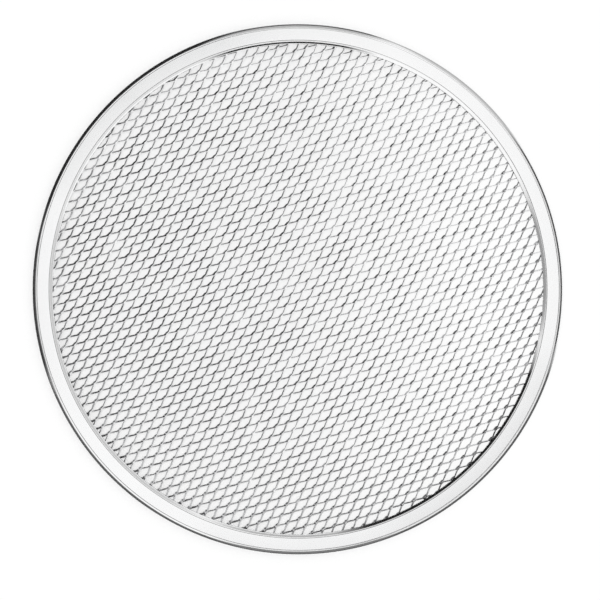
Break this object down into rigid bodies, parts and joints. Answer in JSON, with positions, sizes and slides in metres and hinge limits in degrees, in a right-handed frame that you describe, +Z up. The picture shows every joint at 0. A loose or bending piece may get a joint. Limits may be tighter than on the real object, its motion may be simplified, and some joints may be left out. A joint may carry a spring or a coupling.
{
  "type": "pizza screen",
  "caption": "Round flat pizza baking screen: a disc of expanded aluminium mesh clamped in a folded aluminium rim with turned-in lips.",
  "frame": {"origin": "centre of the disc, on the surface that the rim rests on", "axes": "+Z up through the thickness, the disc lies in the XY plane, and the mesh's long way is turned 41 degrees from +X towards +Y"},
  "size_m": [0.305, 0.305, 0.005],
  "materials": {
    "rim_aluminium": "satin, with faint lines drawn round the ring",
    "mesh_aluminium": "bright mill finish on the strand faces, with darker sheared edges"
  },
  "bodies": {
    "root": {"rim": "rim_aluminium", "mesh": "mesh_aluminium"}
  },
  "joints": []
}
